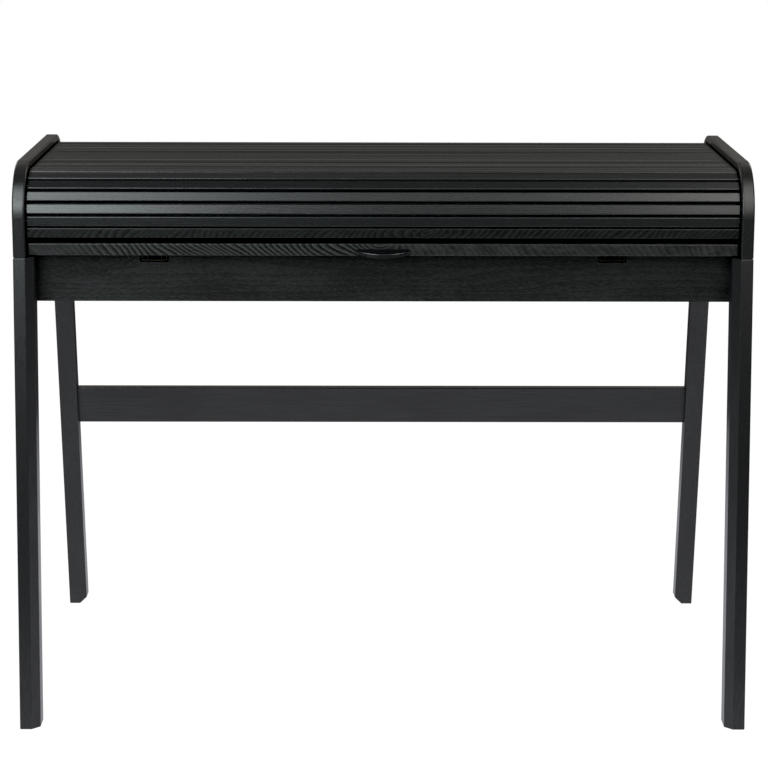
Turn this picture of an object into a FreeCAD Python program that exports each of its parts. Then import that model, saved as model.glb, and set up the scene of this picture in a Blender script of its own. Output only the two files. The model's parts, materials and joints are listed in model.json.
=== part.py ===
import FreeCAD
import Part
import Sketcher
import math
import os
import re
from FreeCAD import Placement, Rotation, Vector

# A tambour writing desk: two raked-leg side frames, a low case with rounded ends, and a
# slatted roll-top joined to the back edge of a worktop that pulls out on ball slides.
# +X is the sitter's right, +Y runs to the back, +Z is up, and the origin lies on the
# floor in the middle of the desk. All sizes are in millimetres.

sizes = {
    # overall
    "width": 1100,
    "depth": 700,
    "height": 850,
    # side panels of the case
    "case_setback": 64,
    "case_depth": 493,
    "case_tall": 137,
    "panel_thick": 19,
    "corner_radius": 77,
    "panel_round": 3,
    # legs
    "leg_width": 30,
    "leg_thick": 44,
    "leg_chamfer": 12,
    "arris_round": 1.5,
    # rails and stretcher of the base frame
    "rail_tall": 73,
    "rail_thick": 20,
    "apron_step": 4,
    "rear_rail_step": 4,
    "rear_rail_drop": 8,
    "stretcher_base": 342,
    "stretcher_tall": 63,
    "stretcher_thick": 20,
    "bearer_width": 50,
    "bearer_tall": 42,
    # dowels
    "dowel_radius": 4,
    "dowel_length": 36,
    "stretcher_dowel_pitch": 30,
    "panel_dowel_radius": 3,
    "panel_dowel_length": 32,
    "panel_dowel_pitch": 20,
    "dowel_play": 0.05,
    # worktop
    "worktop_thick": 18,
    "worktop_lift": 2,
    "worktop_setback": 15,
    "side_gap": 2,
    "lipping_depth": 24,
    "clamp_width": 20,
    "clamp_thick": 4,
    "clamp_margin": 9,
    "pull_width": 86,
    "pull_reach": 18,
    "pull_tall": 8,
    "pull_drop": 2,
    "pull_wall": 3,
    "pull_floor": 2.5,
    # tambour
    "slat_pitch": 17.2,
    "slat_gap": 1.2,
    "slat_face": 14.2,
    "slat_thick": 8,
    "slat_shoulder": 3,
    "slat_round": 1.6,
    "slat_recess": 12.5,
    "lead_gap": 7.5,
    "tail_gap": 0.5,
    "travel": 104,
    # guide pins and the groove that they run in
    "pin_radius": 2,
    "pin_height": 4,
    "pin_play": 0.3,
    "groove_out": 6.8,
    "groove_in": 7.7,
    "groove_depth": 6,
    "groove_runout": 6,
    # ball slides
    "slide_inset": 187,
    "slide_width": 38,
    "slide_end_gap": 37,
    "slide_gauge": 1.5,
    "slide_rise": 3,
    "lip_width": 6,
    "inner_clear": 1,
    "notch_play": 2,
    "ball_radius": 2.95,
    "ball_play": 0.05,
    "ball_head": 0.55,
    "ball_count": 4,
    "cage_margin": 21,
    "cage_gauge": 0.5,
    "cage_wall": 1,
    "cage_clear": 0.25,
}

# Places worked out from the sizes, in the sheet's own words
derived = {
    "outer_side": "width/2",
    "inner_side": "width/2 - panel_thick",
    "leg_inner": "width/2 - leg_width",
    "case_base": "height - case_tall",
    "rail_base": "case_base - rail_tall",
    "front": "-depth/2",
    "rear": "depth/2",
    "case_front": "front + case_setback",
    "case_rear": "case_front + case_depth",
    "rear_rake": "rear - case_rear",
    "bend_height": "height - corner_radius",
    "front_bend": "case_front + corner_radius",
    "rear_bend": "case_rear - corner_radius",
    "rail_outer": "outer_side - (leg_width - rail_thick)/2",
    "rail_inner": "rail_outer - rail_thick",
    "apron_front": "case_front + leg_thick + apron_step",
    "apron_rear": "apron_front + rail_thick",
    "rear_rail_rear": "case_rear - leg_thick - rear_rail_step",
    "rear_rail_front": "rear_rail_rear - rail_thick",
    "rear_rail_top": "case_base - rear_rail_drop",
    "worktop_base": "case_base + worktop_lift",
    "worktop_top": "worktop_base + worktop_thick",
    "worktop_front": "case_front + worktop_setback",
    "worktop_side": "inner_side - side_gap",
    "panel_dowel_inset": "(panel_thick - groove_depth)/2",
    "stretcher_top": "stretcher_base + stretcher_tall",
    # the slides, built out from the size of their balls
    "slide_spread": "inner_side - slide_inset",
    "slide_length": "rear_rail_front - apron_front - slide_end_gap",
    "channel_tall": "2*(slide_gauge + ball_radius + ball_head)",
    "slide_tall": "channel_tall + slide_rise",
    "slide_base": "worktop_base - slide_tall",
    "inner_width": "slide_width - 2*slide_gauge - 4*(ball_radius + ball_play)",
    "ball_rise": "channel_tall/2",
    "cage_start": "cage_margin + travel/2",
    "cage_length": "slide_length - 2*cage_start",
    # the tambour's canvas line and the line of its guide pins
    "canvas_inset": "slat_recess + slat_thick",
    "canvas_radius": "corner_radius - canvas_inset",
    "canvas_low": "worktop_top - clamp_thick",
    "pin_inset": "canvas_inset - pin_height",
    "pin_reach": "groove_depth - pin_play",
    "pin_low": "canvas_low - pin_height",
    "pin_low_radius": "bend_height - pin_low",
    "low_bend": "case_rear - pin_inset - pin_low_radius",
    "canvas_low_radius": "pin_low_radius - pin_height",
    "lead_height": "worktop_top + lead_gap",
    "lead_run": "bend_height - lead_height",
    "bend_run": "canvas_radius*pi/2",
    "top_run": "rear_bend - front_bend",
    "low_bend_run": "canvas_low_radius*pi/2",
    "canvas_run": "lead_run + 2*bend_run + top_run + low_bend_run",
    "slat_total": "ceil(canvas_run/slat_pitch)",
    "tail_run": "slat_total*slat_pitch - canvas_run",
    "worktop_rear": "low_bend - tail_run - tail_gap",
    "groove_outer": "pin_inset - groove_out",
    "groove_inner": "pin_inset + groove_in",
    "groove_front": "worktop_rear - travel - groove_runout",
}

doc = FreeCAD.newDocument("TambourDesk")
sheet = doc.addObject("Spreadsheet::Sheet", "Sheet")
for row, (alias, size) in enumerate(sizes.items(), start=1):
    sheet.set(f"A{row}", alias)
    sheet.set(f"B{row}", str(size))
    sheet.setAlias(f"B{row}", alias)
doc.recompute()

pieces = []


# Formulas, sketches and features

def bound(formula):
    """Turn a formula in the words above into an expression on the sheet."""
    def spell_out(match):
        word = match.group(0)
        if word in derived:
            return f"({bound(derived[word])})"
        return f"Sheet.{word}" if word in sizes else word
    return re.sub(r"[a-z][a-z_]*", spell_out, formula)


def value(formula):
    return float(sheet.evalExpression(bound(formula)))


def bind(item, **formulas):
    """Bind an object's own size properties to the sheet."""
    for name, formula in formulas.items():
        item.setExpression(name, bound(formula))
    return item


def place(item, across, along, up, turn=None):
    """Bind an object's place to the sheet, after any fixed turn."""
    if turn:
        item.Placement = Placement(Vector(), turn)
    for axis, formula in zip("xyz", (across, along, up)):
        item.setExpression(f"Placement.Base.{axis}", bound(formula))
    return item


def piece(item, label):
    """Name an object as one of the desk's own pieces."""
    item.Label = label
    pieces.append(item)
    return item


def new_body(name):
    return doc.addObject("PartDesign::Body", f"{name}_body")


def sketch_on(body, role, offset="0"):
    plane = next(plane for plane in body.Origin.OriginFeatures if plane.Role == role)
    sketch = body.newObject("Sketcher::SketchObject", f"{body.Name}_sketch")
    sketch.AttachmentSupport = [(plane, "")]
    sketch.MapMode = "FlatFace"
    sketch.setExpression("AttachmentOffset.Base.z", bound(offset))
    return sketch


def arc_between(start, end, radius, clockwise):
    """The minor arc from start to end, drawn anticlockwise as a sketch holds it."""
    first, last = (end, start) if clockwise else (start, end)
    chord = last - first
    rise = math.sqrt(max(radius**2 - (chord.Length / 2)**2, 0))
    left = Vector(-chord.y, chord.x, 0).normalize()
    centre = (first + last) * 0.5 + left * rise
    angles = [math.atan2(end.y - centre.y, end.x - centre.x) for end in (first, last)]
    return Part.ArcOfCircle(Part.Circle(centre, Vector(0, 0, 1), radius), *angles)


def outline(sketch, points):
    """Draw a closed outline. A point is (across, up), and a third entry makes the stretch
    to the next point an arc of that radius, clockwise where it starts with a minus."""
    corners = [Vector(value(point[0]), value(point[1]), 0) for point in points]
    ends = []
    for index, point in enumerate(points):
        start, end = corners[index], corners[(index + 1) % len(points)]
        if len(point) == 2:
            sketch.addGeometry(Part.LineSegment(start, end), False)
            ends.append((1, 2))
            continue
        clockwise = point[2].startswith("-")
        radius = point[2].lstrip("-")
        sketch.addGeometry(arc_between(start, end, value(radius), clockwise), False)
        ends.append((2, 1) if clockwise else (1, 2))
        fix(sketch, Sketcher.Constraint("Radius", index, value(radius)), radius)
    for index, point in enumerate(points):
        before = index - 1 if index else len(points) - 1
        tie = Sketcher.Constraint("Coincident", before, ends[before][1], index, ends[index][0])
        sketch.addConstraint(tie)
        for kind, formula in (("DistanceX", point[0]), ("DistanceY", point[1])):
            corner = (-1, 1, index, ends[index][0], value(formula))
            fix(sketch, Sketcher.Constraint(kind, *corner), formula)


def fix(sketch, constraint, formula):
    number = sketch.addConstraint(constraint)
    sketch.setExpression(f"Constraints[{number}]", bound(formula))


def pad(body, sketch, length, symmetric=False):
    feature = body.newObject("PartDesign::Pad", f"{body.Name}_pad")
    feature.Profile = sketch
    feature.SideType = "Symmetric" if symmetric else "One side"
    return bind(feature, Length=length)


def pocket(body, sketch, depth):
    feature = body.newObject("PartDesign::Pocket", f"{body.Name}_pocket")
    feature.Profile = sketch
    return bind(feature, Length=depth)


def edges_where(feature, wanted):
    """Names of a feature's edges whose two ends both meet a test."""
    doc.recompute()
    names = []
    for number, edge in enumerate(feature.Shape.Edges, start=1):
        if len(edge.Vertexes) == 2 and wanted(*[vertex.Point for vertex in edge.Vertexes]):
            names.append(f"Edge{number}")
    return names


def soften(body, feature, kind, names, size):
    """Fillet or chamfer the named edges of a feature."""
    dressed = body.newObject(f"PartDesign::{kind}", f"{body.Name}_{kind.lower()}")
    dressed.Base = (feature, names)
    return bind(dressed, **{"Radius" if kind == "Fillet" else "Size": size})


def close(first, second):
    return abs(first - second) < 0.01


def box(name, low, high):
    """A rectangular block between two corners, each given by three formulas."""
    block = doc.addObject("Part::Box", name)
    spans = [f"({top}) - ({bottom})" for bottom, top in zip(low, high)]
    bind(block, Length=spans[0], Width=spans[1], Height=spans[2])
    return place(block, *low)


def cylinder(name, radius, length, centre, turn=None):
    rod = doc.addObject("Part::Cylinder", name)
    bind(rod, Radius=radius, Height=length)
    return place(rod, *centre, turn)


def combine(kind, name, base, tool):
    result = doc.addObject(f"Part::{kind}", name)
    result.Base = base
    result.Tool = tool
    return result


def gather(name, items):
    group = doc.addObject("Part::Compound", name)
    group.Links = items
    return group


def mirror(item, name):
    """The right-hand twin of a left-hand piece."""
    twin = doc.addObject("Part::Mirroring", name)
    twin.Source = item
    twin.Normal = Vector(1, 0, 0)
    return twin


# Dowels and the holes that they fill

along_x = Rotation(Vector(0, 1, 0), 90)
along_y = Rotation(Vector(1, 0, 0), -90)


def leg_front(height):
    """Where a front leg's front face stands at a height."""
    return f"(front + case_setback*({height})/case_base)"


def leg_rear(height):
    """Where a rear leg's back face stands at a height."""
    return f"(rear - rear_rake*({height})/case_base)"


def dowel_row(name, places, radius, length, turn=None):
    """A group of dowels that start at the given places, with a slightly larger hole each."""
    rods, holes = [], []
    for number, (across, along, up) in enumerate(places, start=1):
        centre = (across, along, up)
        rods.append(cylinder(f"{name}_{number}", radius, length, centre, turn))
        hole_radius = f"{radius} + dowel_play"
        holes.append(cylinder(f"{name}_hole_{number}", hole_radius, length, centre, turn))
    return rods, holes


def both_sides(formula):
    return [f"-({formula})", f"({formula})"]


dowel_groups = {"panel_dowels": [], "stretcher_dowels": [], "rail_dowels": []}
hole_tools = []


def add_dowels(group, name, places, radius, length, turn=None):
    rods, holes = dowel_row(name, places, radius, length, turn)
    dowel_groups[group] += rods
    hole_tools.extend(holes)


leg_tops = ["case_front + leg_thick/2", "case_rear - leg_thick/2"]
add_dowels("panel_dowels", "panel_dowel", [
    (side, f"{top} {step} panel_dowel_pitch/2", "case_base - panel_dowel_length/2")
    for side in both_sides("outer_side - panel_dowel_inset")
    for top in leg_tops
    for step in "+-"
], "panel_dowel_radius", "panel_dowel_length")

stretcher_middle = "stretcher_base + stretcher_tall/2"
for step in "+-":
    level = f"{stretcher_middle} {step} stretcher_dowel_pitch/2"
    add_dowels("stretcher_dowels", f"stretcher_dowel_{'+-'.index(step)}", [
        (side, f"{leg_rear(level)} - leg_thick/2", level)
        for side in ("-leg_inner - dowel_length/2", "leg_inner - dowel_length/2")
    ], "dowel_radius", "dowel_length", along_x)

# Four levels share the rails' height: cross rails use the outer two, side rails the inner two
level_count = 4


def rail_level(step):
    return f"rail_base + ({step} + 0.5)/{level_count}*(rear_rail_top - rail_base)"


for step in (0, level_count - 1):
    add_dowels("rail_dowels", f"cross_rail_dowel_{step}", [
        (side, rail, rail_level(step))
        for side in ("-rail_inner - rail_thick/2", "rail_inner + rail_thick/2 - dowel_length")
        for rail in ("(apron_front + apron_rear)/2", "(rear_rail_front + rear_rail_rear)/2")
    ], "dowel_radius", "dowel_length", along_x)
for step in (1, level_count - 2):
    level = rail_level(step)
    add_dowels("rail_dowels", f"side_rail_dowel_{step}", [
        (side, f"{end} - dowel_length/2", level)
        for side in both_sides("(rail_outer + rail_inner)/2")
        for end in (f"{leg_front(level)} + leg_thick", f"{leg_rear(level)} - leg_thick")
    ], "dowel_radius", "dowel_length", along_y)

for group, rods in dowel_groups.items():
    piece(gather(group, rods), group)
dowel_holes = gather("dowel_holes", hole_tools)


def drilled(item, label):
    """A frame piece with its dowel holes."""
    return piece(combine("Cut", f"{label}_drilled", item, dowel_holes), label)


def drilled_pair(body, name):
    drilled(body, f"left_{name}")
    drilled(mirror(body, f"{name}_twin"), f"right_{name}")


# Side panels, with the groove that the tambour's pins follow

def side_panel():
    body = new_body("side_panel")
    face = sketch_on(body, "YZ_Plane", "-outer_side")
    outline(face, [
        ("case_front", "case_base"),
        ("case_rear", "case_base"),
        ("case_rear", "bend_height", "corner_radius"),
        ("rear_bend", "height"),
        ("front_bend", "height", "corner_radius"),
        ("case_front", "bend_height"),
    ])
    board = pad(body, face, "panel_thick")
    rim = edges_where(board, lambda first, last: close(first.x, last.x))
    soften(body, board, "Fillet", rim, "panel_round")
    path = sketch_on(body, "YZ_Plane", "-inner_side")
    outer_low, inner_low = "pin_low - groove_out", "pin_low + groove_in"
    outline(path, [
        ("case_front + groove_outer", "case_base"),
        ("case_front + groove_outer", "bend_height", "-corner_radius - groove_outer"),
        ("front_bend", "height - groove_outer"),
        ("rear_bend", "height - groove_outer", "-corner_radius - groove_outer"),
        ("case_rear - groove_outer", "bend_height", "-pin_low_radius + groove_out"),
        ("low_bend", outer_low),
        ("groove_front", outer_low),
        ("groove_front", inner_low),
        ("low_bend", inner_low, "pin_low_radius - groove_in"),
        ("case_rear - groove_inner", "bend_height", "corner_radius - groove_inner"),
        ("rear_bend", "height - groove_inner"),
        ("front_bend", "height - groove_inner", "corner_radius - groove_inner"),
        ("case_front + groove_inner", "bend_height"),
        ("case_front + groove_inner", "case_base"),
    ])
    pocket(body, path, "groove_depth")
    return body


# Raked legs, each with its inner outward-facing corner cut off

def leg(name, front_face, chamfer_foot):
    body = new_body(name)
    side = sketch_on(body, "YZ_Plane", "-outer_side")
    outline(side, [
        (front_face("0"), "0"),
        (f"{front_face('0')} + leg_thick", "0"),
        (f"{front_face('case_base')} + leg_thick", "case_base"),
        (front_face("case_base"), "case_base"),
    ])
    bar = pad(body, side, "leg_width")
    inner, foot = -value("leg_inner"), value(chamfer_foot)

    def corner_edge(first, last):
        low = first if first.z < last.z else last
        return close(first.x, inner) and close(last.x, inner) and close(low.y, foot) and first.z != last.z

    cut = soften(body, bar, "Chamfer", edges_where(bar, corner_edge), "leg_chamfer")
    every = edges_where(cut, lambda first, last: True)
    soften(body, cut, "Fillet", every, "arris_round")
    return body


def rear_leg_front(height):
    return f"({leg_rear(height)} - leg_thick)"


# Rails of the base frame

def side_rail():
    body = new_body("side_rail")
    side = sketch_on(body, "YZ_Plane", "-rail_outer")
    outline(side, [
        (f"{leg_front('rail_base')} + leg_thick", "rail_base"),
        (rear_leg_front("rail_base"), "rail_base"),
        (rear_leg_front("case_base"), "case_base"),
        (f"{leg_front('case_base')} + leg_thick", "case_base"),
    ])
    pad(body, side, "rail_thick")
    return body


def front_apron():
    """The front rail, notched over each slide."""
    body = new_body("front_apron")
    face = sketch_on(body, "XZ_Plane", "-apron_rear")
    reach = "slide_width/2 + notch_play"
    top = []
    for side in ("slide_spread", "-slide_spread"):
        top += [
            (f"{side} + {reach}", "case_base"),
            (f"{side} + {reach}", "slide_base - notch_play"),
            (f"{side} - ({reach})", "slide_base - notch_play"),
            (f"{side} - ({reach})", "case_base"),
        ]
    outline(face, [
        ("-rail_inner", "rail_base"),
        ("rail_inner", "rail_base"),
        ("rail_inner", "case_base"),
        *top,
        ("-rail_inner", "case_base"),
    ])
    board = pad(body, face, "rail_thick")
    low = value("rail_base")
    foot = edges_where(board, lambda first, last: close(first.z, low) and close(last.z, low)
                       and close(first.y, last.y))
    soften(body, board, "Fillet", foot, "arris_round")
    return body


def stretcher():
    """The rail between the rear legs, raked with them."""
    body = new_body("stretcher")
    end = sketch_on(body, "YZ_Plane", "-leg_inner")
    inset = "(leg_thick - stretcher_thick)/2"
    outline(end, [
        (f"{rear_leg_front('stretcher_base')} + {inset}", "stretcher_base"),
        (f"{leg_rear('stretcher_base')} - {inset}", "stretcher_base"),
        (f"{leg_rear('stretcher_top')} - {inset}", "stretcher_top"),
        (f"{rear_leg_front('stretcher_top')} + {inset}", "stretcher_top"),
    ])
    bar = pad(body, end, "2*leg_inner")
    long_edges = edges_where(bar, lambda first, last: not close(first.x, last.x))
    soften(body, bar, "Fillet", long_edges, "arris_round")
    return body


def rear_rail():
    low = ("-rail_inner", "rear_rail_front", "rail_base")
    return box("rear_rail_block", low, ("rail_inner", "rear_rail_rear", "rear_rail_top"))


def slide_bearer():
    middle = "-slide_spread"
    low = (f"{middle} - bearer_width/2", "apron_rear", "slide_base - bearer_tall")
    return box("bearer_block", low, (f"{middle} + bearer_width/2", "rear_rail_front", "slide_base"))


# Ball slides: a fixed channel, a moving channel and a ball cage between them

def slide_section(name, points, start, length):
    """A sheet steel section, given about the slide's own middle, run from start to the back."""
    body = new_body(name)
    section = sketch_on(body, "XZ_Plane", f"-({start}) - ({length})")
    outline(section, [(f"{across} - slide_spread", f"slide_base + {up}") for across, up in points])
    pad(body, section, length)
    return body


def slide_outer():
    wall, roof = "slide_width/2", "channel_tall"
    right = [
        (wall, "0"),
        (wall, roof),
        (f"{wall} - lip_width", roof),
        (f"{wall} - lip_width", f"{roof} - slide_gauge"),
        (f"{wall} - slide_gauge", f"{roof} - slide_gauge"),
        (f"{wall} - slide_gauge", "slide_gauge"),
    ]
    left = [(f"-({across})", up) for across, up in reversed(right)]
    return slide_section("slide_outer", right + left, "apron_front", "slide_length")


def slide_inner():
    wall, foot = "inner_width/2", "slide_gauge + inner_clear"
    right = [
        (f"{wall} - slide_gauge", "slide_tall - slide_gauge"),
        (f"{wall} - slide_gauge", foot),
        (wall, foot),
        (wall, "slide_tall"),
    ]
    left = [(f"-({across})", up) for across, up in reversed(right)]
    return slide_section("slide_inner", right + left, "apron_front", "slide_length")


def ball_cage():
    race = "(slide_width/2 - slide_gauge + inner_width/2)/2"
    floor = "slide_gauge + cage_clear"
    brim = "ball_rise + ball_radius - cage_clear"
    right = [
        (f"{race} + cage_wall/2", floor),
        (f"{race} + cage_wall/2", brim),
        (f"{race} - cage_wall/2", brim),
        (f"{race} - cage_wall/2", f"{floor} + cage_gauge"),
    ]
    left = [(f"-({across})", up) for across, up in reversed(right)]
    strip = slide_section("ball_strip", right + left, "apron_front + cage_start", "cage_length")
    cage = [strip]
    for number in range(int(value("ball_count"))):
        for side in "+-":
            ball = doc.addObject("Part::Sphere", f"ball_{number}_{'+-'.index(side)}")
            bind(ball, Radius="ball_radius")
            along = f"apron_front + cage_start + cage_length*({number} + 0.5)/ball_count"
            place(ball, f"-slide_spread {side} {race}", along, "slide_base + ball_rise")
            cage.append(ball)
    joined = doc.addObject("Part::MultiFuse", "ball_cage_joined")
    joined.Shapes = cage
    return joined


# Worktop, its front lipping and finger pull, and the strip that holds the tambour's tail

def worktop_section(name, points):
    body = new_body(name)
    section = sketch_on(body, "YZ_Plane")
    outline(section, points)
    return body, pad(body, section, "2*worktop_side", symmetric=True)


def worktop_board():
    body, _ = worktop_section("worktop", [
        ("worktop_front + lipping_depth", "worktop_base"),
        ("worktop_rear", "worktop_base"),
        ("worktop_rear", "canvas_low"),
        ("worktop_rear - clamp_width", "canvas_low"),
        ("worktop_rear - clamp_width", "worktop_top"),
        ("worktop_front + lipping_depth", "worktop_top"),
    ])
    return body


def front_lipping():
    body, strip = worktop_section("lipping", [
        ("worktop_front", "worktop_base"),
        ("worktop_front + lipping_depth", "worktop_base"),
        ("worktop_front + lipping_depth", "worktop_top"),
        ("worktop_front", "worktop_top"),
    ])
    nose = value("worktop_front")
    front_edges = edges_where(strip, lambda first, last: close(first.y, nose) and close(last.y, nose))
    soften(body, strip, "Fillet", front_edges, "arris_round")
    return body


def tail_clamp():
    side = "worktop_side - clamp_margin"
    low = (f"-({side})", "worktop_rear - clamp_width", "canvas_low")
    return box("tail_clamp_strip", low, (side, "worktop_rear", "worktop_top"))


def finger_pull():
    """A crescent tray on the lipping's face, deep enough for the fingertips."""
    sweep = "(pull_width^2/4 + pull_reach^2)/(2*pull_reach)"
    base = "worktop_base - pull_drop"
    middle = f"worktop_front - pull_reach + {sweep}"
    drum = cylinder("pull_drum", sweep, "pull_tall", ("0", middle, base))
    inside = ("0", middle, f"{base} + pull_floor")
    hollow = cylinder("pull_hollow", f"{sweep} - pull_wall", "pull_tall", inside)
    low = ("-pull_width/2", "worktop_front - pull_reach", base)
    front_part = box("pull_front", low, ("pull_width/2", "worktop_front", f"{base} + pull_tall"))
    tray = combine("Cut", "pull_tray", drum, hollow)
    return combine("Common", "finger_pull_tray", tray, front_part)


# Tambour slats, all alike, set along the canvas line

def slat_master():
    """One slat on its own axes: +Y along the canvas, +Z outwards, with a pin at each end."""
    body = new_body("slat")
    section = sketch_on(body, "YZ_Plane")
    foot, face = "(slat_pitch - slat_gap)/2", "slat_face/2"
    outline(section, [
        (f"-{foot}", "0"),
        (foot, "0"),
        (foot, "slat_shoulder"),
        (face, "slat_thick"),
        (f"-{face}", "slat_thick"),
        (f"-{foot}", "slat_shoulder"),
    ])
    strip = pad(body, section, "2*worktop_side", symmetric=True)
    brow = value("slat_thick")
    arrises = edges_where(strip, lambda first, last: close(first.z, brow) and close(last.z, brow)
                          and close(first.y, last.y))
    soften(body, strip, "Fillet", arrises, "slat_round")
    pin = sketch_on(body, "YZ_Plane")
    centre = Vector(0, value("pin_height"), 0)
    pin.addGeometry(Part.Circle(centre, Vector(0, 0, 1), value("pin_radius")), False)
    fix(pin, Sketcher.Constraint("Radius", 0, value("pin_radius")), "pin_radius")
    pin.addConstraint(Sketcher.Constraint("PointOnObject", 0, 3, -2))
    fix(pin, Sketcher.Constraint("DistanceY", -1, 1, 0, 3, value("pin_height")), "pin_height")
    pad(body, pin, "2*(inner_side + pin_reach)", symmetric=True)
    return body


def canvas_pose(run):
    """Place and slope, in degrees, of the canvas line after a run from the lead slat's lower edge."""
    upper, lower = value("canvas_radius"), value("canvas_low_radius")
    bend_height = value("bend_height")
    stretches = [
        (value("lead_run"), Vector(0, value("case_front + canvas_inset"), value("lead_height")), 90, 0),
        (value("bend_run"), Vector(0, value("front_bend"), bend_height), 90, upper),
        (value("top_run"), Vector(0, value("front_bend"), bend_height + upper), 0, 0),
        (value("bend_run"), Vector(0, value("rear_bend"), bend_height), 0, upper),
        (value("low_bend_run"), Vector(0, value("low_bend"), bend_height), -90, lower),
        (math.inf, Vector(0, value("low_bend"), bend_height - lower), -180, 0),
    ]
    for length, start, slope, radius in stretches:
        if run > length:
            run -= length
            continue
        if radius:
            slope -= math.degrees(run / radius)
            return start + Rotation(Vector(1, 0, 0), slope).multVec(Vector(0, 0, radius)), slope
        return start + Rotation(Vector(1, 0, 0), slope).multVec(Vector(0, run, 0)), slope


def tambour():
    """Slats that stay on the flat top for the whole travel share a node, the rest have their own."""
    master = slat_master()
    flat_start = value("lead_run + bend_run")
    flat_end = flat_start + value("top_run")
    top_slats = []
    for index in range(int(value("slat_total"))):
        middle = value("slat_pitch") * (index + 0.5)
        spot, slope = canvas_pose(middle)
        name = f"tambour_slat_{index + 1:02d}"
        slat = gather(name, [master])
        slat.Placement = Placement(spot, Rotation(Vector(1, 0, 0), slope))
        if flat_start - 0.1 <= middle and middle + value("travel") <= flat_end:
            top_slats.append(slat)
        else:
            piece(slat, name)
    piece(gather("top_slats", top_slats), "tambour_top_slats")


# The whole desk

drilled_pair(side_panel(), "side_panel")
drilled_pair(leg("front_leg", leg_front, "front"), "front_leg")
drilled_pair(leg("rear_leg", rear_leg_front, "rear"), "rear_leg")
drilled_pair(side_rail(), "side_rail")
drilled(front_apron(), "front_apron")
drilled(rear_rail(), "rear_rail")
drilled(stretcher(), "rear_stretcher")
for make, name in (
    (slide_bearer, "slide_bearer"),
    (slide_outer, "slide_outer"),
    (slide_inner, "slide_inner"),
    (ball_cage, "ball_cage"),
):
    left = make()
    piece(left, f"left_{name}")
    piece(mirror(left, f"{name}_twin"), f"right_{name}")
piece(worktop_board(), "worktop_board")
piece(front_lipping(), "worktop_lipping")
piece(tail_clamp(), "tail_clamp")
piece(finger_pull(), "finger_pull")
tambour()

doc.recompute()
for item in doc.Objects:
    if {"Invalid", "Error"} & set(item.State):
        raise RuntimeError(f"{item.Name} failed: {item.State}")
os.makedirs("parts", exist_ok=True)
for item in pieces:
    shape = item.Shape
    if shape.isNull() or not shape.isValid() or not shape.Solids:
        raise RuntimeError(f"{item.Label} has no valid solid")
    shape.exportStep(f"parts/{item.Label}.step")
print(f"{len(pieces)} pieces, {int(value('slat_total'))} slats, canvas {value('canvas_run'):.1f} mm")
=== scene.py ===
import json
import math
import bmesh
import bpy
from mathutils import Matrix, Vector


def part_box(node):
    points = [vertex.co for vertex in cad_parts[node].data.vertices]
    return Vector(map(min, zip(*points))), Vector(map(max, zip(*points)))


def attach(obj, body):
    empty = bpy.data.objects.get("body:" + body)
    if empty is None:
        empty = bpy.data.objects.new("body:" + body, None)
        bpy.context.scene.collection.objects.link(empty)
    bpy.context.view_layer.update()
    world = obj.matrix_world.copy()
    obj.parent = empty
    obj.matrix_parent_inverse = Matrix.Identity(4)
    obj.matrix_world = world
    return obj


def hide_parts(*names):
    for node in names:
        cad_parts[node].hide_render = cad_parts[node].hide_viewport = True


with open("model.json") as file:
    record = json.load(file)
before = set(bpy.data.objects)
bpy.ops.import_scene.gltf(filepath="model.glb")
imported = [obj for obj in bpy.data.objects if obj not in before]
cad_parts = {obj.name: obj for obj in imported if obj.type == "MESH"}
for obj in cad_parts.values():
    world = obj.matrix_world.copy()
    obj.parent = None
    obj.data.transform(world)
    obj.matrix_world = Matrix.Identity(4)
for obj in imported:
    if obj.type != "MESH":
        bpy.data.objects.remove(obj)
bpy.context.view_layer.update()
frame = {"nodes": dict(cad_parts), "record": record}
nodes = frame["nodes"]

mm = 0.001


# materials

def linearColour(hexCode):
    # sRGB hex to the linear values that a shader takes
    channels = [int(hexCode[start:start + 2], 16) / 255 for start in (0, 2, 4)]
    curve = [c / 12.92 if c <= 0.04045 else ((c + 0.055) / 1.055) ** 2.4 for c in channels]
    return (*curve, 1.0)


def addNode(tree, kind, settings=None, **inputs):
    # one node: its properties and ramp stops, then its sockets, each given a value or the output
    # that feeds it; _2 stands for the socket numbered 2
    node = tree.nodes.new(kind)
    for name, choice in (settings or {}).items():
        if name == "stops":
            for stop, (place, colour) in zip(node.color_ramp.elements, choice):
                stop.position = place
                stop.color = colour
        else:
            setattr(node, name, choice)
    for name, given in inputs.items():
        key = int(name[1:]) if name[1:].isdigit() else name.replace("_", " ")
        socket = node.inputs[key]
        if isinstance(given, bpy.types.NodeSocket):
            tree.links.new(given, socket)
        else:
            socket.default_value = given
    return node


def newMaterial(name):
    material = bpy.data.materials.new(name)
    material.use_nodes = True
    material.node_tree.nodes.clear()
    return material, material.node_tree


def grey(level):
    return (level, level, level, 1.0)


def perSize(*sizesMm):
    # pattern scales that give one repeat for each of these sizes
    return [1 / (size * mm) for size in sizesMm]


midTone = 0.5  # the middle of a pattern, which runs from 0 to 1
waveRepeat = math.tau / 20  # a wave texture repeats every 2 pi / 20 of its own scaled length
# how fine the patterns are drawn, alike on every board
grain = {"wanderDetail": 1.0, "ringDistortion": 0.6, "ringDetail": 1.0, "ringDetailScale": 2.0,
         "poreDetail": 3.0, "poreRoughness": 0.65, "cloudDetail": 2.0}


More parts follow.
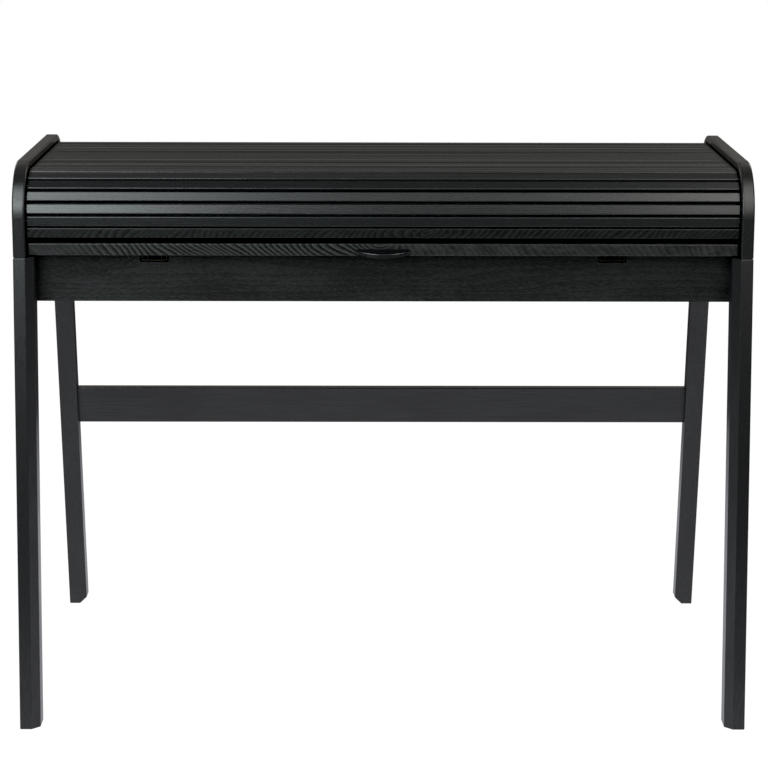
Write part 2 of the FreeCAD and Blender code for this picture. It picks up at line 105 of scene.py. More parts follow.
# Planed wood: open pores as fine sunk streaks along the grain, and year rings as paler bands.
# turn: degrees that bring the grain to the pattern's X axis; heartMm: the tree's middle
# figureAtMm: where the rings are clear, out to clearMm on both sides; lean: how far a slat may tip
def planedWood(name, wood):
    material, tree = newMaterial(name)
    place = addNode(tree, "ShaderNodeTexCoord").outputs["Object"]
    turned = addNode(tree, "ShaderNodeMapping", {"vector_type": "TEXTURE"}, Vector=place,
                     Location=[side * mm for side in wood["heartMm"]],
                     Rotation=[math.radians(angle) for angle in wood["turn"]]).outputs[0]
    # slow wander of the rings along the board, which lays them across a narrow edge at a slant
    slow = addNode(tree, "ShaderNodeMapping", Vector=turned, Scale=perSize(
        wood["wanderLengthMm"], wood["wanderWidthMm"], wood["wanderWidthMm"]))
    wander = addNode(tree, "ShaderNodeTexNoise", Vector=slow.outputs[0], Scale=1.0,
                     Detail=grain["wanderDetail"]).outputs["Color"]
    centred = addNode(tree, "ShaderNodeVectorMath", {"operation": "SUBTRACT"}, _0=wander, _1=[midTone] * 3)
    pushed = addNode(tree, "ShaderNodeVectorMath", {"operation": "MULTIPLY_ADD"}, _0=centred.outputs[0],
                     _1=[2 * wood["wanderMm"] * mm] * 3, _2=turned).outputs[0]
    rings = addNode(tree, "ShaderNodeTexWave",
                    {"wave_type": "RINGS", "rings_direction": "X", "wave_profile": "SAW"}, Vector=pushed,
                    Scale=waveRepeat / (wood["ringMm"] * mm), Distortion=grain["ringDistortion"],
                    Detail=grain["ringDetail"], Detail_Scale=grain["ringDetailScale"]).outputs["Fac"]
    # pores, drawn wider than the real 0.3 mm so that they show
    streaks = addNode(tree, "ShaderNodeMapping", Vector=turned, Scale=perSize(
        wood["poreLengthMm"], wood["poreWidthMm"], wood["poreWidthMm"]))
    pores = addNode(tree, "ShaderNodeTexNoise", Vector=streaks.outputs[0], Scale=1.0,
                    Detail=grain["poreDetail"], Roughness=grain["poreRoughness"]).outputs["Fac"]
    # darker and paler patches
    patches = addNode(tree, "ShaderNodeMapping", Vector=turned, Scale=perSize(
        wood["cloudLengthMm"], wood["cloudMm"], wood["cloudMm"]))
    cloud = addNode(tree, "ShaderNodeTexNoise", Vector=patches.outputs[0], Scale=1.0,
                    Detail=grain["cloudDetail"]).outputs["Fac"]
    total = wood["ringShare"] + wood["poreShare"] + wood["cloudShare"]
    ringShare = wood["ringShare"] / total
    poreShare = wood["poreShare"] / total
    cloudShare = wood["cloudShare"] / total
    # the rings stand out on one stretch of a board and are faint on both sides of it
    across = addNode(tree, "ShaderNodeSeparateXYZ", Vector=place)
    aside = addNode(tree, "ShaderNodeMath", {"operation": "SUBTRACT"}, _0=across.outputs["X"],
                    _1=wood["figureAtMm"] * mm).outputs[0]
    offset = addNode(tree, "ShaderNodeMath", {"operation": "ABSOLUTE"}, _0=aside).outputs[0]
    clear = addNode(tree, "ShaderNodeMapRange", {"interpolation_type": "SMOOTHSTEP"}, Value=offset,
                    From_Min=wood["clearMm"] * mm, From_Max=wood["faintMm"] * mm,
                    To_Min=ringShare, To_Max=ringShare * wood["faintShare"]).outputs[0]
    wave = addNode(tree, "ShaderNodeMath", {"operation": "SUBTRACT"}, _0=rings, _1=midTone).outputs[0]
    ringPart = addNode(tree, "ShaderNodeMath", {"operation": "MULTIPLY_ADD"}, _0=wave, _1=clear,
                       _2=ringShare / 2).outputs[0]
    porePart = addNode(tree, "ShaderNodeMath", {"operation": "MULTIPLY_ADD"}, _0=pores, _1=poreShare,
                       _2=ringPart).outputs[0]
    figure = addNode(tree, "ShaderNodeMath", {"operation": "MULTIPLY_ADD"}, _0=cloud, _1=cloudShare,
                     _2=porePart).outputs[0]
    low = midTone - wood["contrast"]
    high = midTone + wood["contrast"]
    colour = addNode(tree, "ShaderNodeValToRGB", {"stops": [
        (low, linearColour(wood["dark"])), (high, linearColour(wood["light"]))]}, Fac=figure)
    roughness = addNode(tree, "ShaderNodeValToRGB", {"stops": [
        (low, grey(wood["roughPore"])), (high, grey(wood["roughFace"]))]}, Fac=figure)
    # on the flat run no two slats lie quite alike, which shows at a low angle
    tilt = {}
    if wood["lean"]:
        slatPlace = addNode(tree, "ShaderNodeMath", {"operation": "MULTIPLY_ADD"}, _0=across.outputs["Y"],
                            _1=1 / wood["pitch"], _2=-wood["firstEdge"] / wood["pitch"]).outputs[0]
        number = addNode(tree, "ShaderNodeMath", {"operation": "FLOOR"}, _0=slatPlace).outputs[0]
        chance = addNode(tree, "ShaderNodeTexWhiteNoise", {"noise_dimensions": "1D"}, W=number)
        lean = addNode(tree, "ShaderNodeMapRange", Value=chance.outputs["Value"],
                       To_Min=-wood["lean"], To_Max=0.0).outputs[0]
        leaned = addNode(tree, "ShaderNodeCombineXYZ", Y=lean).outputs[0]
        facing = addNode(tree, "ShaderNodeNewGeometry").outputs["Normal"]
        tipped = addNode(tree, "ShaderNodeVectorMath", {"operation": "ADD"}, _0=facing, _1=leaned)
        tilt["Normal"] = tipped.outputs[0]
    bump = addNode(tree, "ShaderNodeBump", Height=figure, Strength=wood["bump"],
                   Distance=wood["poreDepthMm"] * mm, **tilt)
    shader = addNode(tree, "ShaderNodeBsdfPrincipled", Base_Color=colour.outputs["Color"],
                     Roughness=roughness.outputs["Color"], IOR=wood["ior"], Normal=bump.outputs[0])
    addNode(tree, "ShaderNodeOutputMaterial", Surface=shader.outputs["BSDF"])
    return material


# Ash, stained black and sealed with a thin satin lacquer: the pores stay open under it, and the
# rings are only slightly greyer. The slats have straight, quiet grain; the other pieces start from it.
slatWood = {
    "turn": (0, 0.5, 0.4), "heartMm": (0, -226, 600),
    "wanderLengthMm": 420, "wanderWidthMm": 40, "wanderMm": 10, "ringMm": 3.4,
    "figureAtMm": 0, "clearMm": 500, "faintMm": 600, "faintShare": 1.0,
    "poreLengthMm": 40, "poreWidthMm": 1.5, "cloudMm": 9, "cloudLengthMm": 120,
    "ringShare": 0.3, "poreShare": 0.8, "cloudShare": 0.4, "contrast": 0.2,
    "dark": "0b0c0d", "light": "1e2021", "roughPore": 0.33, "roughFace": 0.22,
    "bump": 0.4, "poreDepthMm": 0.2, "lean": 0, "ior": 1.6,
}
# the slats on the flat top
topLow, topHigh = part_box("tambour_top_slats")
topSlats = {"count": 14, "gapMm": 1.2}
topPitch = (topHigh[1] - topLow[1] + topSlats["gapMm"] * mm) / topSlats["count"]
topWood = dict(slatWood, lean=0.4, pitch=topPitch, firstEdge=topLow[1] - topSlats["gapMm"] * mm / 2)
# The lipping is cut across a flame figure: the tree's middle comes out of its upper edge behind
# the pull, so the rings cross the strip at a slant left of it, and are faint to the right.
lippingLow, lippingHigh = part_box("worktop_lipping")
lippingWood = dict(
    slatWood, turn=(0, 9, 21), heartMm=(-10, lippingLow[1] / mm, lippingHigh[2] / mm),
    wanderLengthMm=110, wanderWidthMm=50, wanderMm=9, ringMm=4.0,
    figureAtMm=-215, clearMm=150, faintMm=275, faintShare=0.2,
    ringShare=0.8, poreShare=0.5, cloudShare=0.35, contrast=0.12, dark="010101", light="383a39",
    roughPore=0.34, roughFace=0.26, bump=0.5, ior=1.4)
leadLow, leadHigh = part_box("tambour_slat_01")
leadWood = dict(
    lippingWood, turn=(0, -9, 21), heartMm=(60, leadLow[1] / mm, (leadLow[2] + leadHigh[2]) / 2 / mm),
    figureAtMm=-530, clearMm=80, faintMm=280, faintShare=0.5, light="232524")
boardWood = dict(slatWood, heartMm=(0, -60, 560), ringMm=6.0, cloudMm=30, dark="131415", light="383b3e")
apronWood = dict(
    slatWood, heartMm=(0, -160, 690), ringShare=0.15, poreShare=1.0, cloudShare=0.5, poreLengthMm=7,
    poreWidthMm=1.8, cloudMm=45, cloudLengthMm=150, contrast=0.08, dark="010101", light="1f2120",
    roughPore=0.5, roughFace=0.42, bump=1.0, poreDepthMm=0.8, ior=1.35)
smoothWood = dict(
    apronWood, poreShare=0.7, cloudShare=0.4, poreLengthMm=60, contrast=0.1, dark="060606", light="1b1c1d",
    roughPore=0.36, roughFace=0.27, bump=0.5, poreDepthMm=0.2, ior=1.55)
panelWood = dict(smoothWood, turn=(0, 0, 90), heartMm=(500, 0, 900))
frontLegWood = dict(smoothWood, turn=(5.1, 90, 0), heartMm=(430, -200, 300))
rearLegWood = dict(smoothWood, turn=(-11.3, 90, 0), heartMm=(430, 200, 300))
sideRailWood = dict(apronWood, turn=(0, 0, 90), heartMm=(480, 0, 640))
# the pull is rubbed smooth by fingers
pullWood = dict(smoothWood, heartMm=(0, -280, 700), roughPore=0.24, roughFace=0.16, bump=0.2, ior=1.9)

ashSlat = planedWood("blackStainedAshSlat", slatWood)
ashTop = planedWood("blackStainedAshTop", topWood)
ashLipping = planedWood("blackStainedAshLipping", lippingWood)
ashLead = planedWood("blackStainedAshLead", leadWood)
ashBoard = planedWood("blackStainedAshBoard", boardWood)
ashApron = planedWood("blackStainedAshApron", apronWood)
ashStretcher = planedWood("blackStainedAshStretcher", smoothWood)
ashPanel = planedWood("blackStainedAshPanel", panelWood)
ashFrontLeg = planedWood("blackStainedAshFrontLeg", frontLegWood)
ashRearLeg = planedWood("blackStainedAshRearLeg", rearLegWood)
ashSideRail = planedWood("blackStainedAshSideRail", sideRailWood)
ashPull = planedWood("blackStainedAshPull", pullWood)
# Beech left bare inside the desk: pale brown, close grained and dull
bareBeech = planedWood("bareBeech", dict(
    apronWood, turn=(0, 0, 90), dark="7d5a38", light="a98256", contrast=0.2, roughPore=0.7, roughFace=0.6))


# how the drawing lines show, alike on every steel
steelLines = {"detail": 2.0, "darkAt": 0.3, "lightAt": 0.7, "bump": 0.3}


# Rolled steel strip with a plated skin: fine drawing lines along the section
def drawnSteel(name, steel):
    material, tree = newMaterial(name)
    place = addNode(tree, "ShaderNodeTexCoord").outputs["Object"]
    lines = addNode(tree, "ShaderNodeMapping", Vector=place, Scale=perSize(
        steel["lineWidthMm"], steel["lineLengthMm"], steel["lineWidthMm"]))
    drawn = addNode(tree, "ShaderNodeTexNoise", Vector=lines.outputs[0], Scale=1.0,
                    Detail=steelLines["detail"]).outputs["Fac"]
    colour = addNode(tree, "ShaderNodeValToRGB", {"stops": [
        (steelLines["darkAt"], linearColour(steel["dark"])),
        (steelLines["lightAt"], linearColour(steel["light"]))]}, Fac=drawn)
    roughness = addNode(tree, "ShaderNodeValToRGB", {"stops": [
        (steelLines["darkAt"], grey(steel["roughLow"])),
        (steelLines["lightAt"], grey(steel["roughHigh"]))]}, Fac=drawn)
    bump = addNode(tree, "ShaderNodeBump", Height=drawn, Strength=steelLines["bump"],
                   Distance=steel["lineDepthMm"] * mm)
    shader = addNode(tree, "ShaderNodeBsdfPrincipled", Base_Color=colour.outputs["Color"], Metallic=1.0,
                     Roughness=roughness.outputs["Color"], Normal=bump.outputs[0])
    addNode(tree, "ShaderNodeOutputMaterial", Surface=shader.outputs["BSDF"])
    return material


zincSteel = drawnSteel("blackenedZincSteel", {
    "lineWidthMm": 0.8, "lineLengthMm": 60, "lineDepthMm": 0.05,
    "dark": "2c2a26", "light": "4c4840", "roughLow": 0.36, "roughHigh": 0.52})
bearingSteel = drawnSteel("brightBearingSteel", {
    "lineWidthMm": 1.2, "lineLengthMm": 20, "lineDepthMm": 0.03,
    "dark": "9a9a98", "light": "c4c4c2", "roughLow": 0.16, "roughHigh": 0.28})
screwSteel = drawnSteel("blackenedScrewSteel", {
    "lineWidthMm": 0.6, "lineLengthMm": 3, "lineDepthMm": 0.03,
    "dark": "3a3a3c", "light": "5c5c5e", "roughLow": 0.35, "roughHigh": 0.5})


# Cotton duck, dyed dark, glued behind the slats: a plain weave with a dry, dull face
def cottonDuck(name, duck):
    material, tree = newMaterial(name)
    place = addNode(tree, "ShaderNodeTexCoord").outputs["Object"]
    threads = {"Vector": place, "Scale": waveRepeat / (duck["threadMm"] * mm),
               "Distortion": duck["waver"], "Detail": duck["detail"]}
    warp = addNode(tree, "ShaderNodeTexWave", {"wave_type": "BANDS", "bands_direction": "X"}, **threads)
    weft = addNode(tree, "ShaderNodeTexWave", {"wave_type": "BANDS", "bands_direction": "DIAGONAL"},
                   **threads)
    weave = addNode(tree, "ShaderNodeMath", {"operation": "MULTIPLY"}, _0=warp.outputs["Fac"],
                    _1=weft.outputs["Fac"]).outputs[0]
    colour = addNode(tree, "ShaderNodeValToRGB", {"stops": [
        (duck["darkAt"], linearColour(duck["dark"])),
        (duck["lightAt"], linearColour(duck["light"]))]}, Fac=weave)
    bump = addNode(tree, "ShaderNodeBump", Height=weave, Strength=duck["bump"],
                   Distance=duck["threadMm"] * mm / duck["flatness"])
    shader = addNode(tree, "ShaderNodeBsdfPrincipled", Base_Color=colour.outputs["Color"],
                     Roughness=duck["roughness"], Normal=bump.outputs[0])
    addNode(tree, "ShaderNodeOutputMaterial", Surface=shader.outputs["BSDF"])
    return material


# threads drawn about twice as wide as real ones so that the weave shows
# flatness: how many times as wide as the weave is deep
duckCanvas = cottonDuck("dyedCottonDuck", {
    "threadMm": 1.4, "waver": 0.4, "detail": 1.0, "flatness": 3, "bump": 0.5,
    "dark": "17171a", "light": "3a3935", "darkAt": 0.0, "lightAt": 0.8, "roughness": 0.9})


# Wool felt, black: short fibres lying every way, no gloss; where it is used, its dark colour is painted
# shade
def feltShadeMaterial(name, felt):
    material, tree = newMaterial(name)
    place = addNode(tree, "ShaderNodeTexCoord").outputs["Object"]
    fibres = addNode(tree, "ShaderNodeTexNoise", Vector=place, Scale=1 / (felt["fibreMm"] * mm),
                     Detail=felt["detail"], Roughness=felt["tangle"]).outputs["Fac"]
    colour = addNode(tree, "ShaderNodeValToRGB", {"stops": [
        (felt["darkAt"], linearColour(felt["dark"])),
        (felt["lightAt"], linearColour(felt["light"]))]}, Fac=fibres)
    bump = addNode(tree, "ShaderNodeBump", Height=fibres, Strength=felt["bump"],
                   Distance=felt["fibreMm"] * mm / felt["flatness"])
    shader = addNode(tree, "ShaderNodeBsdfPrincipled", Base_Color=colour.outputs["Color"],
                     Roughness=felt["roughness"], Specular_IOR_Level=felt["specular"],
                     Normal=bump.outputs[0])
    addNode(tree, "ShaderNodeOutputMaterial", Surface=shader.outputs["BSDF"])
    return material


# painted shade: this black felt is the sheet that stands for the shadow in the pull's recess
recessShadeFelt = feltShadeMaterial("recessShadeWoolFelt", {
    "fibreMm": 0.6, "detail": 4.0, "tangle": 0.7, "flatness": 4, "bump": 0.6,
    "dark": "070708", "light": "141416", "darkAt": 0.3, "lightAt": 0.7, "roughness": 0.95, "specular": 0.1})

finishes = {
    "side_panel": ashPanel, "front_leg": ashFrontLeg, "rear_leg": ashRearLeg, "side_rail": ashSideRail,
    "front_apron": ashApron, "rear_rail": ashApron, "rear_stretcher": ashStretcher,
    "slide_bearer": bareBeech, "dowels": bareBeech, "slide_outer": zincSteel, "slide_inner": zincSteel,
    "ball_cage": bearingSteel, "worktop_board": ashBoard, "worktop_lipping": ashLipping,
    "tail_clamp": ashBoard, "finger_pull": ashPull, "tambour_slat_01": ashLead, "tambour_slat_2": ashTop,
    "tambour_top": ashTop, "tambour": ashSlat,
}
# the first word that is found in a node's name gives its finish
for nodeName, node in nodes.items():
    finish = next(finishes[word] for word in finishes if word in nodeName)
    node.data.materials.clear()
    node.data.materials.append(finish)
print("materials:", len(bpy.data.materials), "made, every node dressed")


# new pieces

def newPiece(name, mesh, body, material):
    data = bpy.data.meshes.new(name)
    mesh.to_mesh(data)
    mesh.free()
    piece = bpy.data.objects.new(name, data)
    bpy.context.scene.collection.objects.link(piece)
    piece.data.materials.append(material)
    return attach(piece, body)


def unitSquare():
    # one face with sides of 1 m, which is then scaled
    mesh = bmesh.new()
    bmesh.ops.create_grid(mesh, x_segments=1, y_segments=1, size=1 / 2)
    return mesh


# Canvas glued behind the slats: a strip for each slat, and one sheet for the slats that move
# together. Each reaches over the gap to the next slat, and hangs a little off there to pass its canvas.
# sideDigits: faces whose normals agree this far are one side of the slat
canvas = {"thickMm": 0.5, "endMarginMm": 10, "overlapMm": 1.4, "hangMm": 1.7, "sideDigits": 2}


def canvasBehind(nodeName, body):
    slats = bmesh.new()
    slats.from_mesh(nodes[nodeName].data)
    sides = {}
    for face in slats.faces:
        side = tuple(round(part, canvas["sideDigits"]) for part in face.normal)
        sides.setdefault(side, []).append(face)
    # the widest flat side of a slat is the one that the canvas is glued to
    back = max(sides.values(), key=lambda faces: sum(face.calc_area() for face in faces))
    inward = back[0].normal.copy()
    along = inward.cross(Vector((1, 0, 0)))
    corners = [vert.co for face in back for vert in face.verts]
    reach = [corner.dot(along) for corner in corners]
    near = max(reach)
    far = min(reach) - canvas["overlapMm"] * mm
    width = 2 * max(corner.x for corner in corners) - 2 * canvas["endMarginMm"] * mm
    length = near - far
    depth = corners[0].dot(inward) + canvas["thickMm"] * mm
    middle = along * (near + far) / 2 + inward * depth
    slats.free()
    strip = unitSquare()
    bmesh.ops.scale(strip, vec=(width, length, 1), verts=strip.verts)
    hanging = [vert for vert in strip.verts if vert.co.y < 0]
    bmesh.ops.translate(strip, vec=(0, 0, canvas["hangMm"] * mm), verts=hanging)
    turn = Matrix((Vector((1, 0, 0)), along, inward)).transposed()
    bmesh.ops.rotate(strip, cent=(0, 0, 0), matrix=turn, verts=strip.verts)
    bmesh.ops.translate(strip, vec=middle, verts=strip.verts)
    bmesh.ops.solidify(strip, geom=strip.faces[:], thickness=canvas["thickMm"] * mm)
    bmesh.ops.recalc_face_normals(strip, faces=strip.faces)
    piece = newPiece(nodeName.replace("tambour", "canvas"), strip, body, duckCanvas)


for body, members in frame["record"]["behaviour"]["bodies"].items():
    for nodeName in members:
        if nodeName.startswith("tambour"):
            canvasBehind(nodeName, body)
print("canvas strips made")


# raised cross-head screws that hold the clamp strip down on the canvas tail
clampScrew = {"count": 7, "endMm": 40, "headMm": 7.5, "riseMm": 1.8, "edgeMm": 0.9, "armMm": 2.2,
              "slotMm": 1.0, "slotDeepMm": 1.2, "turnStep": 37, "sides": 32, "edgeSteps": 3}


def screwHead():
    mesh = bmesh.new()
    radius = clampScrew["headMm"] * mm / 2
    rise = clampScrew["riseMm"] * mm
    bmesh.ops.create_cone(mesh, cap_ends=True, segments=clampScrew["sides"], radius1=radius, radius2=radius,
                          depth=rise)
    bmesh.ops.translate(mesh, vec=(0, 0, rise / 2), verts=mesh.verts)
    brim = [edge for edge in mesh.edges if all(vert.co.z > rise / 2 for vert in edge.verts)]
    bmesh.ops.bevel(mesh, geom=brim, offset=clampScrew["edgeMm"] * mm, affect="EDGES",
                    segments=clampScrew["edgeSteps"], profile=0.5, material=-1)
    # the cap is filled again round the outline of the cross, whose edges are then drawn down
    cap = max(mesh.faces, key=lambda face: face.calc_center_median().z)
    ring = cap.edges[:]
    bmesh.ops.delete(mesh, geom=[cap], context="FACES_ONLY")
    arm = clampScrew["armMm"] * mm
    half = clampScrew["slotMm"] * mm / 2
    quarter = [(arm, -half), (arm, half), (half, half)]
    corners = []
    for degrees in (0, 90, 180, 270):
        quarterTurn = Matrix.Rotation(math.radians(degrees), 3, "Z")
        corners += [mesh.verts.new(quarterTurn @ Vector((x, y, rise))) for x, y in quarter]
    cross = [mesh.edges.new((corners[place - 1], corners[place])) for place in range(len(corners))]
    bmesh.ops.triangle_fill(mesh, edges=ring + cross, use_beauty=True, normal=(0, 0, 1))
    drawn = bmesh.ops.extrude_edge_only(mesh, edges=cross)["geom"]
    deep = [part for part in drawn if isinstance(part, bmesh.types.BMVert)]
    bmesh.ops.translate(mesh, vec=(0, 0, -clampScrew["slotDeepMm"] * mm), verts=deep)
    foot = [edge for edge in mesh.edges if all(vert in deep for vert in edge.verts)]
    bmesh.ops.edgeloop_fill(mesh, edges=foot)
    bmesh.ops.recalc_face_normals(mesh, faces=mesh.faces)
    return mesh


clampLow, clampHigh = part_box("tail_clamp")
first = clampLow[0] + clampScrew["endMm"] * mm
step = (clampHigh[0] - clampLow[0] - 2 * clampScrew["endMm"] * mm) / (clampScrew["count"] - 1)
for number in range(clampScrew["count"]):
    head = screwHead()
    spin = Matrix.Rotation(math.radians(number * clampScrew["turnStep"]), 3, "Z")
    bmesh.ops.rotate(head, cent=(0, 0, 0), matrix=spin, verts=head.verts)
    bmesh.ops.translate(head, vec=(first + number * step, (clampLow[1] + clampHigh[1]) / 2, clampHigh[2]),
                        verts=head.verts)
    newPiece(f"clampScrew_{number + 1}", head, "worktop", screwSteel)
print("clamp screws made:", clampScrew["count"])


# The finger pull: a crescent tray whose rim dips in the middle and whose floor rises to the tips, before a
# black felt sheet on the lipping's face that is painted shade: it stands for the shadow inside a finger
# recess that is not cut.
# mergeMm, levelMm: points this near are one, or lie at one height; sharp: least angle of a rim's edge
crescent = {"riseMm": 2.0, "shortMm": 2.5, "floorMm": 2.5, "wallMm": 2.4, "rimMm": 1.1, "dipMm": 3.4,
            "taperMm": 5.0, "steps": 48, "rimSteps": 4, "mergeMm": 0.001, "levelMm": 0.01, "sharp": 1,
            "shadeSheetMm": 0.4, "shadeSheetOverMm": 1.9, "shadeSheetInMm": 3.0, "cornerMm": 2.5, "cornerSteps": 5}
pullLow, pullHigh = (Vector(corner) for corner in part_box("finger_pull"))
pullHigh.z += crescent["riseMm"] * mm  # the tips of the rim, above the plain tray
pullLow.y += crescent["shortMm"] * mm  # it stands out a little less than the plain tray


def crescentPull(low, high):
    half = (high.x - low.x) / 2
    reach = high.y - low.y
    sweep = (half ** 2 + reach ** 2) / (2 * reach)
    axis = Vector((0, low.y + sweep, 0))
    floorTop = low.z + crescent["floorMm"] * mm
    wallIn = low.y + crescent["wallMm"] * mm
    merge = crescent["mergeMm"] * mm
    mesh = bmesh.new()
    section = [(low.y, low.z), (high.y, low.z), (high.y, floorTop),
               (wallIn, floorTop), (wallIn, high.z), (low.y, high.z)]
    corners = [mesh.verts.new((0, y, z)) for y, z in section]
    edges = [mesh.edges.new((corners[place - 1], corners[place])) for place in range(len(corners))]
    spread = math.asin(half / sweep) + crescent["wallMm"] * mm / sweep
    bmesh.ops.rotate(mesh, cent=axis, matrix=Matrix.Rotation(-spread, 3, "Z"), verts=mesh.verts)
    bmesh.ops.spin(mesh, geom=corners + edges, cent=axis, axis=(0, 0, 1), angle=2 * spread,
                   steps=crescent["steps"])
    bmesh.ops.remove_doubles(mesh, verts=mesh.verts, dist=merge)
    rim = [edge for edge in mesh.edges
           if all(abs(vert.co.z - high.z) < crescent["levelMm"] * mm for vert in edge.verts)
           and len(edge.link_faces) == 2 and edge.calc_face_angle() > crescent["sharp"]]
    bmesh.ops.bevel(mesh, geom=rim, offset=crescent["rimMm"] * mm, affect="EDGES",
                    segments=crescent["rimSteps"], profile=0.5, material=-1)
    everything = mesh.verts[:] + mesh.edges[:] + mesh.faces[:]
    bmesh.ops.bisect_plane(mesh, geom=everything, plane_co=(0, high.y, 0), plane_no=(0, 1, 0),
                           clear_outer=True, dist=merge)
    bmesh.ops.remove_doubles(mesh, verts=mesh.verts, dist=merge)
    bmesh.ops.holes_fill(mesh, edges=[edge for edge in mesh.edges if edge.is_boundary])
    bmesh.ops.recalc_face_normals(mesh, faces=mesh.faces)
    for vert in mesh.verts:
        risen = (vert.co.z - low.z) / (high.z - low.z)
        outward = (vert.co.x / half) ** 2
        lift = crescent["taperMm"] * outward * (1 - risen)
        drop = crescent["dipMm"] * risen * (1 - outward)
        vert.co.z += (lift - drop) * mm
    piece = newPiece("crescentPull", mesh, "worktop", ashPull)
    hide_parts("finger_pull")


# painted shade: a thin black sheet on the lipping's face between the pull's tips, standing for the shadow
# of a finger recess that the lipping doesn't have
def pullRecessShadeSheet(low, high):
    width = high.x - low.x - 2 * crescent["shadeSheetInMm"] * mm
    foot = low.z + crescent["floorMm"] * mm
    height = high.z + crescent["shadeSheetOverMm"] * mm - foot
    mesh = unitSquare()
    bmesh.ops.scale(mesh, vec=(width, height, 1), verts=mesh.verts)
    bmesh.ops.bevel(mesh, geom=mesh.verts[:], offset=crescent["cornerMm"] * mm, affect="VERTICES",
                    segments=crescent["cornerSteps"], profile=0.5, material=-1)
    upright = Matrix.Rotation(math.radians(90), 3, "X")
    bmesh.ops.rotate(mesh, cent=(0, 0, 0), matrix=upright, verts=mesh.verts)
    bmesh.ops.translate(mesh, vec=(0, high.y, foot + height / 2), verts=mesh.verts)
    grown = bmesh.ops.extrude_face_region(mesh, geom=mesh.faces[:])
    bmesh.ops.translate(mesh, vec=(0, -crescent["shadeSheetMm"] * mm, 0),
                        verts=[part for part in grown["geom"] if isinstance(part, bmesh.types.BMVert)])
    bmesh.ops.recalc_face_normals(mesh, faces=mesh.faces)
    newPiece("pullRecessShadeSheet", mesh, "worktop", recessShadeFelt)


crescentPull(pullLow, pullHigh)
pullRecessShadeSheet(pullLow, pullHigh)
print("finger pull made")


# floor, light and camera

# the floor glows in pools before and behind the desk, as white paper under soft boxes does, and the
# camera sees it as white
paper = {"sizeMm": 12000, "tint": "f7f8ff", "poolAtMm": (0, 500, 0), "poolMm": 250, "fadeMm": 1750,
         "narrowing": 0.3, "poolBright": 0.85, "farBright": 0.05, "seenBright": 1.12,
         "shadowShare": 0.12, "shade": 0.8}
floorMesh = bmesh.new()
bmesh.ops.create_grid(floorMesh, x_segments=1, y_segments=1, size=paper["sizeMm"] * mm / 2)
floorData = bpy.data.meshes.new("floor")
floorMesh.to_mesh(floorData)
floorMesh.free()
floor = bpy.data.objects.new("floor", floorData)
bpy.context.scene.collection.objects.link(floor)
floorPaper, floorTree = newMaterial("whitePaper")
spot = addNode(floorTree, "ShaderNodeTexCoord").outputs["Object"]
eitherSide = addNode(floorTree, "ShaderNodeVectorMath", {"operation": "ABSOLUTE"}, _0=spot).outputs[0]
nearPool = addNode(floorTree, "ShaderNodeMapping", Vector=eitherSide,
                   Location=[-side * mm for side in paper["poolAtMm"]],
                   Scale=(paper["narrowing"], 1, 1)).outputs[0]
distance = addNode(floorTree, "ShaderNodeVectorMath", {"operation": "LENGTH"}, _0=nearPool).outputs["Value"]
pool = addNode(floorTree, "ShaderNodeMapRange", {"interpolation_type": "SMOOTHSTEP"}, Value=distance,
               From_Min=paper["poolMm"] * mm, From_Max=paper["fadeMm"] * mm,
               To_Min=paper["poolBright"], To_Max=paper["farBright"]).outputs[0]
glow = addNode(floorTree, "ShaderNodeEmission", Color=linearColour(paper["tint"]), Strength=pool)
seen = addNode(floorTree, "ShaderNodeEmission", Strength=paper["seenBright"])
shade = addNode(floorTree, "ShaderNodeBsdfDiffuse", Color=grey(paper["shade"]))
faint = addNode(floorTree, "ShaderNodeMixShader", Fac=paper["shadowShare"], _1=seen.outputs[0],
                _2=shade.outputs[0])
floorRays = addNode(floorTree, "ShaderNodeLightPath").outputs["Is Camera Ray"]
either = addNode(floorTree, "ShaderNodeMixShader", Fac=floorRays, _1=glow.outputs[0], _2=faint.outputs[0])
addNode(floorTree, "ShaderNodeOutputMaterial", Surface=either.outputs[0])
floor.data.materials.append(floorPaper)

# the room is dim in front of the desk and paler behind it; the camera sees plain white
studio = {"skySeen": 1.0, "blackCut": 0.004, "tint": "fffbf3", "frontLight": 0.01, "backLight": 0.22,
          "turnover": 0.3}
world = bpy.data.worlds.new("studio")
bpy.context.scene.world = world
world.use_nodes = True
worldTree = world.node_tree
worldTree.nodes.clear()
toward = addNode(worldTree, "ShaderNodeTexCoord").outputs["Generated"]
depth = addNode(worldTree, "ShaderNodeSeparateXYZ", Vector=toward).outputs["Y"]
room = addNode(worldTree, "ShaderNodeMapRange", {"interpolation_type": "SMOOTHSTEP"}, Value=depth,
               From_Min=-studio["turnover"], From_Max=studio["turnover"],
               To_Min=studio["frontLight"], To_Max=studio["backLight"]).outputs[0]
skyRays = addNode(worldTree, "ShaderNodeLightPath").outputs["Is Camera Ray"]
strength = addNode(worldTree, "ShaderNodeMapRange", Value=skyRays, To_Min=room, To_Max=studio["skySeen"])
skyTint = addNode(worldTree, "ShaderNodeMix", {"data_type": "RGBA"}, Factor=skyRays,
                  _6=linearColour(studio["tint"]), _7=grey(1.0)).outputs[2]  # its colour sockets
sky = addNode(worldTree, "ShaderNodeBackground", Color=skyTint, Strength=strength.outputs[0])
addNode(worldTree, "ShaderNodeOutputWorld", Surface=sky.outputs[0])

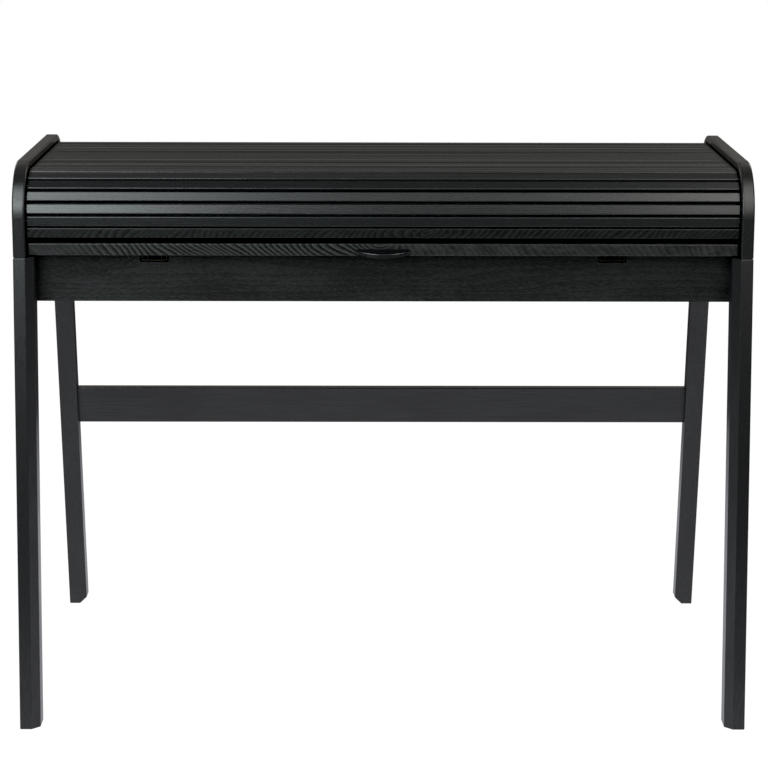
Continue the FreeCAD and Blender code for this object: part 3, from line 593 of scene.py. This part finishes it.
# sizes and places in metres
softBoxes = {
    "leftWide": {"size": (1.3, 2.3), "at": (-1.15, -1.9, 2.0), "aim": (-0.3, -0.1, 0.7),
                 "radiance": 2.5, "tint": "f5feff"},
    "leftTall": {"size": (0.8, 1.8), "at": (-1.35, -1.8, 1.9), "aim": (-0.4, -0.1, 0.7),
                 "radiance": 3.8, "tint": "f5feff"},
    "leftLow": {"size": (0.8, 0.8), "at": (-0.85, -2.1, 1.3), "aim": (-0.4, -0.1, 0.7),
                "radiance": 4.2, "tint": "f5feff"},
    "rightLow": {"size": (0.8, 0.8), "at": (1.0, -2.1, 1.3), "aim": (0.4, -0.1, 0.7),
                 "radiance": 2.0, "tint": "fefff8"},
    "rightHigh": {"size": (1.2, 1.2), "at": (1.2, -1.45, 2.4), "aim": (0.3, -0.1, 0.7),
                  "radiance": 2.1, "tint": "fefff8"},
    "rightTall": {"size": (0.8, 0.9), "at": (1.4, -1.8, 2.0), "aim": (0.4, -0.1, 0.7),
                  "radiance": 4.6, "tint": "fefff8"},
    "rightOver": {"size": (0.8, 0.8), "at": (0.95, -0.9, 2.5), "aim": (0.4, -0.2, 0.7),
                  "radiance": 1.4, "tint": "fefff8"},
    "backLeft": {"size": (0.9, 1.4), "at": (-1.6, 2.0, 2.1), "aim": (-0.2, 0.2, 0.7),
                 "radiance": 1.8, "tint": "fffbf3"},
    "backRight": {"size": (0.9, 1.4), "at": (1.6, 2.0, 2.1), "aim": (0.2, 0.2, 0.7),
                  "radiance": 1.8, "tint": "fffbf3"},
    "front": {"size": (3.0, 1.5), "at": (0.0, -2.6, 2.3), "aim": (0.0, -0.1, 0.7),
              "radiance": 1.0, "tint": "fbfffd"},
}
for name, softBox in softBoxes.items():
    lamp = bpy.data.lights.new(name + "SoftBox", "AREA")
    lamp.shape = "RECTANGLE"
    lamp.size, lamp.size_y = softBox["size"]
    lamp.color = linearColour(softBox["tint"])[:3]
    lamp.energy = math.pi * softBox["radiance"] * lamp.size * lamp.size_y  # watts
    lampObject = bpy.data.objects.new(name + "SoftBox", lamp)
    bpy.context.scene.collection.objects.link(lampObject)
    lampObject.location = softBox["at"]
    toAim = Vector(softBox["aim"]) - Vector(softBox["at"])
    lampObject.rotation_euler = toAim.to_track_quat("-Z", "Y").to_euler()

# the photograph's view, fitted to the desk's corners in a picture of 768 by 768
view = {"pixels": 768, "focalPixels": 2546, "pitch": 12.015, "roll": -0.14, "yaw": -0.28,
        "leftMm": 19, "beforeMm": 4021, "heightMm": 1318, "sensorMm": 36}
cameraData = bpy.data.cameras.new("camera")
cameraData.sensor_width = view["sensorMm"]
cameraData.lens = view["focalPixels"] / view["pixels"] * view["sensorMm"]
camera = bpy.data.objects.new("camera", cameraData)
bpy.context.scene.collection.objects.link(camera)
camera.location = (-view["leftMm"] * mm, -view["beforeMm"] * mm, view["heightMm"] * mm)
camera.rotation_euler = [math.radians(angle) for angle in (90 - view["pitch"], view["roll"], view["yaw"])]
bpy.context.scene.camera = camera
grading = bpy.context.scene.view_settings
grading.view_transform = "Standard"
grading.use_curve_mapping = True
grading.curve_mapping.black_level = [studio["blackCut"]] * 3
print("studio and camera set")
